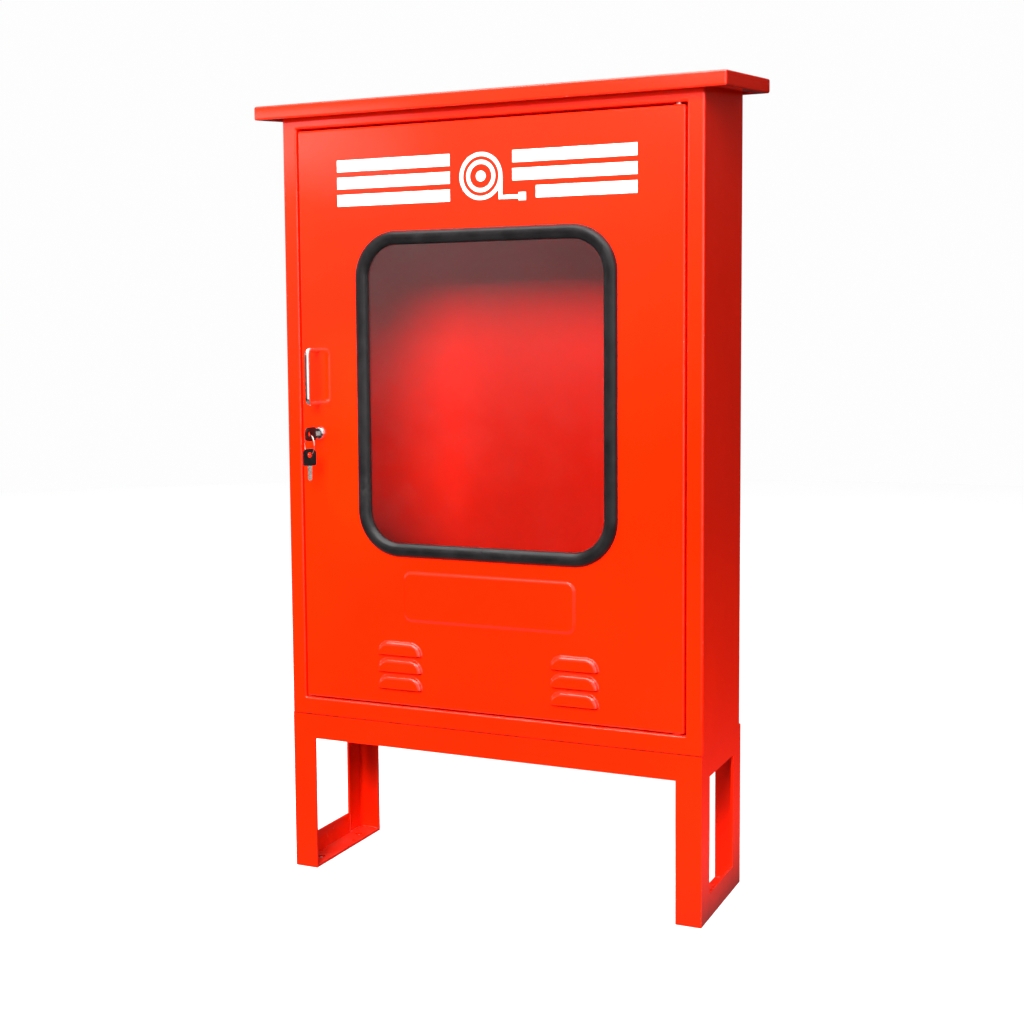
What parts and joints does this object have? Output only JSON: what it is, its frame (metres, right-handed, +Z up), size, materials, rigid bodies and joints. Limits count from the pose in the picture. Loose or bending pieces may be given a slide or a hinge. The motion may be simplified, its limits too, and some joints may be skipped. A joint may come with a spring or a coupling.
{
  "type": "standpipe cabinet",
  "caption": "Free-standing outdoor standpipe cabinet: folded steel box on an angle stand, pitched roof cap, hinged glazed door with louvres, pull handle and key lock.",
  "frame": {"origin": "on the floor, in the middle of the four floor anchor holes of the stand", "axes": "+Z up, -Y out of the door, +X to the right seen from the front"},
  "size_m": [0.774, 0.2499, 1.2518],
  "materials": {
    "red_paint": "gloss enamel on folded steel sheet and steel angle",
    "zinc_steel": "bright zinc plate",
    "chrome_plate": "polished chrome plate",
    "nickel_key": "nickel-plated, lightly scratched",
    "black_rubber": "satin extruded rubber",
    "seal_foam": "closed-cell foam",
    "clear_pane": "clear acrylic sheet, slightly hazy",
    "white_film": "white self-adhesive film",
    "nylon": "natural nylon",
    "black_plastic": "moulded key head"
  },
  "bodies": {
    "cabinet": {"left_side_panel": "red_paint", "right_side_panel": "red_paint", "back_panel": "red_paint", "bottom_panel": "red_paint", "head_rail": "red_paint", "sill_rail": "red_paint", "roof_cap": "red_paint", "roof_studs": "zinc_steel", "roof_nuts": "zinc_steel", "panel_rivets": "red_paint", "pipe_grommet": "black_rubber", "door_seal": "seal_foam", "upper_hinge_plate": "red_paint", "lower_hinge_plate": "red_paint", "upper_hinge_pin": "zinc_steel", "lower_hinge_pin": "zinc_steel", "hinge_thrust_washer": "nylon", "front_left_leg": "red_paint", "front_right_leg": "red_paint", "rear_left_leg": "red_paint", "rear_right_leg": "red_paint", "front_stand_rail": "red_paint", "rear_stand_rail": "red_paint", "left_stand_rail": "red_paint", "right_stand_rail": "red_paint", "left_foot_runner": "red_paint", "right_foot_runner": "red_paint", "stand_bolts": "zinc_steel", "stand_washers": "zinc_steel", "stand_nuts": "zinc_steel"},
    "door": {"door_panel": "red_paint", "upper_stiffener": "red_paint", "lower_stiffener": "red_paint", "window_gasket": "black_rubber", "gasket_locking_strip": "black_rubber", "window_pane": "clear_pane", "door_decal": "white_film", "handle": "chrome_plate", "handle_washers": "zinc_steel", "handle_screws": "zinc_steel", "upper_corner_block": "red_paint", "lower_corner_block": "red_paint", "upper_hinge_bush": "nylon", "lower_hinge_bush": "nylon", "lock_housing": "chrome_plate", "lock_nut": "zinc_steel"},
    "lock_barrel": {"lock_plug": "chrome_plate", "lock_cam": "zinc_steel", "cam_screw": "zinc_steel"},
    "inserted_key": {"key_blade": "nickel_key", "key_head": "black_plastic"},
    "ring": {"key_ring": "nickel_key"},
    "spare_key": {"spare_key_blade": "nickel_key", "spare_key_head": "black_plastic"}
  },
  "joints": [
    {"name": "door_hinge", "type": "hinge", "parent": "cabinet", "child": "door", "pos_m": [0.3085, -0.092, 0.737], "axis": [0, 0, 1], "range_deg": [0, 115]},
    {"name": "lock_turn", "type": "hinge", "parent": "door", "child": "lock_barrel", "pos_m": [-0.288, -0.101, 0.713], "axis": [0, 1, 0], "range_deg": [0, 90]},
    {"name": "key_slide", "type": "slide", "parent": "lock_barrel", "child": "inserted_key", "axis": [0, -1, 0], "range_m": [0, 0.024]},
    {"name": "ring_hang", "type": "hinge", "parent": "inserted_key", "child": "ring", "pos_m": [-0.288, -0.133, 0.713], "axis": [0, 1, 0], "range_deg": [-45, 0]},
    {"name": "spare_hang", "type": "hinge", "parent": "ring", "child": "spare_key", "pos_m": [-0.288, -0.133, 0.6804], "axis": [0, 1, 0], "range_deg": [-45, 0]}
  ],
  "couplings": [
    {"joint": "ring_hang", "follows": "lock_turn", "ratio": -0.5},
    {"joint": "spare_hang", "follows": "lock_turn", "ratio": -0.5}
  ]
}
